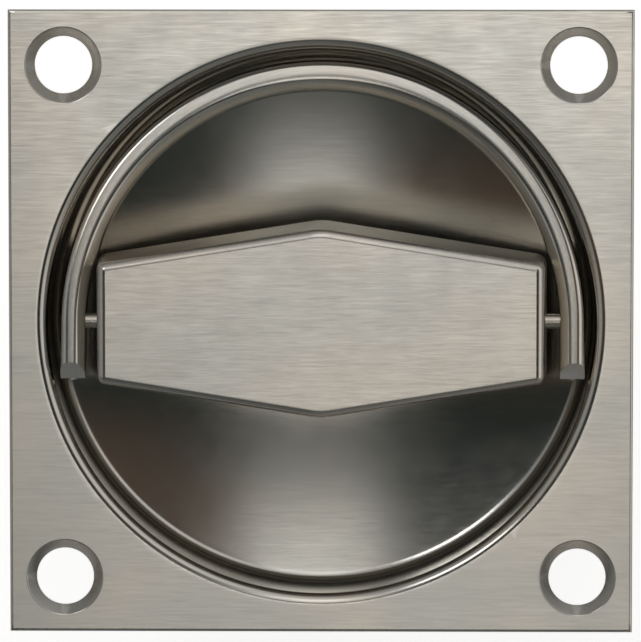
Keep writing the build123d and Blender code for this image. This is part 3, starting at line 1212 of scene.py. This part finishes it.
@dataclass
class Handle:
    """The whole handle: two worked-out surfaces and the solids that keep their shape."""

    frame: dict
    finishes: dict[str, bpy.types.Material]
    plate: FacePlate = field(default_factory=FacePlate)
    ring: HalfRing = field(default_factory=HalfRing)

    def dress(self, piece: bpy.types.Object, slot: str) -> None:
        """Gives a piece one material, in place of any it came with.

        Args:
            piece: The piece's object.
            slot: Name of the material.
        """
        material = self.finishes[slot]
        if not piece.material_slots:
            piece.data.materials.append(material)
        for place in piece.material_slots:
            place.material = material

    def build(self) -> None:
        """Builds the new surfaces and dresses the solids that stay."""
        plate = self.plate.build()
        self.dress(plate, "satin_sheet")
        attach(plate, "housing")
        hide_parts("face_plate")
        LOG.info("plate and bowl: %d faces", len(plate.data.polygons))
        ring = self.ring.build()
        self.dress(ring, "satin_bar")
        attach(ring, "ring")
        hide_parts("ring_handle")
        LOG.info("half ring: %d faces", len(ring.data.polygons))
        subparts = self.frame["record"]["subparts"]
        slots = {part["node"]: part["material_slot"] for part in subparts}
        for name, node in sorted(self.frame["nodes"].items()):
            if name not in ("face_plate", "ring_handle"):
                self.dress(node, slots[name])
                LOG.info("%s keeps its solid, in %s", name, slots[name])


# --------------------------------------------------------------------- studio and view


@dataclass
class Studio:
    """Pale floor, light tent and lamps.

    The tent is the world's colour as a function of direction (x, y, z). A long softbox
    stands over the handle, narrow in x. Its light along y follows a ramp of levels, and
    it widens towards +Y. Round it the tent is nearly dark, warm in two opposite quarters
    and cool in the other two. Further out its sides are lit, and low down it is dim.

    Attributes:
        floor_gap: Room under the spindle's end, in metres.
        floor_half: Half side of the floor, in metres.
        floor_glow: Light that the floor adds where the camera sees it.
        ramp: The softbox's levels, each as y and level.
        ramp_span: Least and greatest y that the ramp covers.
        box_tint: Colour of the softbox.
        half_width: The softbox's half width in x, at the first and second y of widening.
        widening: The y over which the softbox widens.
        softness: Width in x over which the softbox fades.
        cool: Colour of the dark surround.
        warm: Colour of its warm quarters.
        warm_from: x times y over which a warm quarter fades in.
        warm_within: Distance from y = 0 over which a warm quarter fades in.
        sides: Level of the lit side at -X and at +X.
        side_tints: Colour of each side.
        side_turn: Distance from x = 0 at which a side has its full level.
        sides_from: Distance from Z over which the sides fade in.
        near_side: Share of the sides' light that is left towards -Y.
        near_span: The y over which that share rises to one.
        horizon: Level near the horizon.
        horizon_below: The z over which the horizon fades in.
        lamp_tint: Colour of the lamps.
        lamps: Each lamp's name, place and sides in metres, and power in watts.
    """

    floor_gap: float = 0.0005
    floor_half: float = 1.6
    floor_glow: float = 0.72
    ramp: tuple[Pair, ...] = (
        (-0.50, 0.02), (-0.42, 0.12), (-0.36, 0.50), (-0.28, 1.00), (-0.20, 0.88),
        (-0.14, 0.52), (-0.10, 0.58), (-0.07, 0.95), (-0.045, 1.80), (-0.01, 2.30),
        (0.02, 1.10), (0.045, 0.12), (0.13, 0.03), (0.20, 0.28), (0.26, 0.78),
        (0.36, 0.95), (0.50, 1.10), (0.66, 0.95), (0.75, 0.30), (0.84, 0.04),
    )
    ramp_span: Pair = (-0.6, 0.9)
    box_tint: Triple = (1.0, 0.97, 0.925)
    half_width: Pair = (0.08, 0.11)
    widening: Pair = (-0.05, 0.3)
    softness: float = 0.10
    cool: Triple = (0.018, 0.024, 0.022)
    warm: Triple = (0.085, 0.056, 0.038)
    warm_from: Pair = (0.01, 0.06)
    warm_within: Pair = (0.42, 0.26)
    sides: Pair = (0.34, 0.75)
    side_tints: tuple[Triple, Triple] = ((1.0, 0.99, 0.97), (1.0, 0.98, 0.94))
    side_turn: float = 0.4
    sides_from: Pair = (0.52, 0.7)
    near_side: float = 0.22
    near_span: Pair = (-0.6, -0.1)
    horizon: float = 0.2
    horizon_below: Pair = (0.4, 0.08)
    lamp_tint: Triple = (1.0, 0.98, 0.95)
    lamps: tuple[tuple[str, Triple, Pair, float], ...] = (
        ("lamp_near_crown", (0.0, 0.074, 0.17), (0.07, 0.05), 0.002),
        ("lamp_high_left", (-0.28, 0.38, 0.6), (0.2, 0.25), 0.45),
    )

    def build_softbox(self, graph: Graph, x: Socket, y: Socket) -> Socket:
        """The softbox's light for a direction: its ramp along y times a mask across x.

        Args:
            graph: Tree of the world.
            x: The direction's first part.
            y: The direction's second part.

        Returns:
            Socket with the light's strength.
        """
        levels = graph.node("ShaderNodeValToRGB")
        levels.color_ramp.interpolation = "EASE"
        stops = levels.color_ramp.elements
        top = max(level for _, level in self.ramp)
        first, last = self.ramp_span
        while len(stops) < len(self.ramp):
            stops.new(0.5)
        for stop, (place, level) in zip(stops, self.ramp):
            stop.position = (place - first) / (last - first)
            stop.color = rgba((level / top,) * 3)
        graph.fill(levels, (graph.remap(y, first, last, smooth=False),))
        half = graph.remap(y, *self.widening, *self.half_width)
        outside = graph.math("SUBTRACT", graph.math("ABSOLUTE", x), half)
        mask = graph.remap(outside, -0.4 * self.softness, 0.6 * self.softness, 1.0, 0.0)
        return graph.math("MULTIPLY", graph.math("MULTIPLY", levels.outputs[0], mask), top)

    def build_surround(self, graph: Graph, x: Socket, y: Socket, z: Socket) -> Socket:
        """The tent's light away from the softbox.

        The distance from Z is the square root of 1 - z squared. The dark quarters, the
        sides and the horizon are laid over one another in that order.

        Args:
            graph: Tree of the world.
            x: The direction's first part.
            y: The direction's second part.
            z: The direction's third part.

        Returns:
            Socket with the colour.
        """
        quarter = graph.math(
            "MULTIPLY", graph.remap(graph.math("MULTIPLY", x, y), *self.warm_from),
            graph.remap(graph.math("ABSOLUTE", y), *self.warm_within))
        dim = graph.mix(quarter, rgba(self.cool), rgba(self.warm))
        level_part = graph.math("SUBTRACT", 1.0, graph.math("MULTIPLY", z, z))
        reach = graph.math("SQRT", level_part)
        left, right = (rgba(tuple(level * part for part in tint))
                       for level, tint in zip(self.sides, self.side_tints))
        pale = graph.mix(graph.remap(x, -self.side_turn, self.side_turn), left, right)
        aside = graph.math("MULTIPLY", graph.remap(reach, *self.sides_from),
                           graph.remap(y, *self.near_span, self.near_side, 1.0))
        lit = graph.mix(aside, dim, pale)
        low = graph.remap(z, *self.horizon_below)
        return graph.mix(low, lit, rgba((self.horizon,) * 3))

    def build_world(self) -> None:
        """Makes the tent. Camera rays see plain white instead."""
        world = bpy.data.worlds.new("light_tent")
        bpy.context.scene.world = world
        world.use_nodes = True
        world.node_tree.nodes.clear()
        graph = Graph(world.node_tree)
        x, y, z = graph.split(graph.place("Generated"))
        box = graph.background(rgba(self.box_tint), self.build_softbox(graph, x, y))
        around = graph.background(self.build_surround(graph, x, y, z))
        tent = graph.node("ShaderNodeAddShader", (box, around)).outputs[0]
        white = graph.background(rgba((1.0, 1.0, 1.0)))
        seen = graph.node("ShaderNodeLightPath").outputs["Is Camera Ray"]
        choose = graph.node("ShaderNodeMixShader", (seen, tent, white))
        graph.node("ShaderNodeOutputWorld", (choose.outputs[0],))

    def build_floor(self) -> None:
        """Lays the floor just under the spindle's end, pale and matt."""
        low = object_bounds()[0][2] - self.floor_gap
        half = self.floor_half
        mesh = bpy.data.meshes.new("studio_floor")
        corners = [(-half, -half, low), (half, -half, low), (half, half, low),
                   (-half, half, low)]
        mesh.from_pydata(corners, [], [(0, 1, 2, 3)])
        floor = add_object("studio_floor", mesh)
        material, graph, shader = start_material("studio_floor")
        graph.fill(shader, {"Base Color": rgba((0.86, 0.86, 0.86)), "Roughness": 0.9,
                            "Specular IOR Level": 0.1})
        matt = shader.outputs[0]
        glow = graph.node("ShaderNodeEmission", (rgba((1.0, 1.0, 1.0)), self.floor_glow))
        both = graph.node("ShaderNodeAddShader", (matt, glow.outputs[0]))
        seen = graph.node("ShaderNodeLightPath").outputs["Is Camera Ray"]
        gate = graph.node("ShaderNodeMixShader", (seen, matt, both.outputs[0]))
        graph.fill(material.node_tree.nodes["Material Output"], (gate.outputs[0],))
        mesh.materials.append(material)
        floor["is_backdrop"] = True

    def add_lamp(self, name: str, place: Triple, size: Pair, power: float) -> None:
        """Adds a soft rectangular lamp that points at the handle.

        Args:
            name: Name of the lamp.
            place: Where it stands, in metres.
            size: Its two sides, in metres.
            power: Its power in watts.
        """
        light = bpy.data.lights.new(name, "AREA")
        light.shape = "RECTANGLE"
        light.size, light.size_y = size
        light.energy = power
        light.color = self.lamp_tint
        lamp = add_object(name, light)
        lamp.location = place
        lamp.rotation_euler = Vector(place).to_track_quat("Z", "Y").to_euler()

    def build(self) -> None:
        """Builds the tent, the floor and the lamps."""
        self.build_world()
        self.build_floor()
        for lamp in self.lamps:
            self.add_lamp(*lamp)
        bpy.context.scene.view_settings.view_transform = "Standard"


@dataclass
class Viewpoint:
    """A long lens nearly square to the plate, a little towards the ring's crown.

    Attributes:
        tilt: Degrees from straight on, towards +Y.
        swing: Degrees from straight on, towards +X.
        distance: From the face of the plate, in metres.
        span: Width that the picture takes in at the plate, in metres.
        aim: Point that lies at the middle of the picture.
        sensor: Width of the sensor, in millimetres.
        nearest: Least distance that the camera sees, in metres.
    """

    tilt: float = 5.3
    swing: float = 1.0
    distance: float = 0.8
    span: float = 0.08736
    aim: Triple = (-0.00005, 0.0002, 0.0015)
    sensor: float = 36.0
    nearest: float = 0.01

    def build(self) -> None:
        """Makes the camera and hands it to the scene."""
        data = bpy.data.cameras.new("camera")
        data.sensor_width = self.sensor
        data.lens = self.sensor * self.distance / self.span
        data.clip_start = self.nearest
        camera = add_object("camera", data)
        aside, up_by = (math.tan(math.radians(a)) for a in (self.swing, self.tilt))
        back = Vector((aside, up_by, 1.0)).normalized()
        right = Vector((0.0, 1.0, 0.0)).cross(back).normalized()
        up = back.cross(right)
        place = Vector(self.aim) + back * self.distance
        camera.matrix_world = Matrix(
            [[right[i], up[i], back[i], place[i]] for i in range(3)] + [[0, 0, 0, 1]]
        )
        bpy.context.scene.camera = camera


def main() -> None:
    """Builds the handle, the studio and the camera."""
    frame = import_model()
    finishes = Finishes(SharedEffects.build()).build()
    Viewpoint().build()
    Handle(frame, finishes).build()
    Studio().build()


if __name__ == "__main__":
    logging.basicConfig(level=logging.INFO, format="%(name)s: %(message)s")
    main()
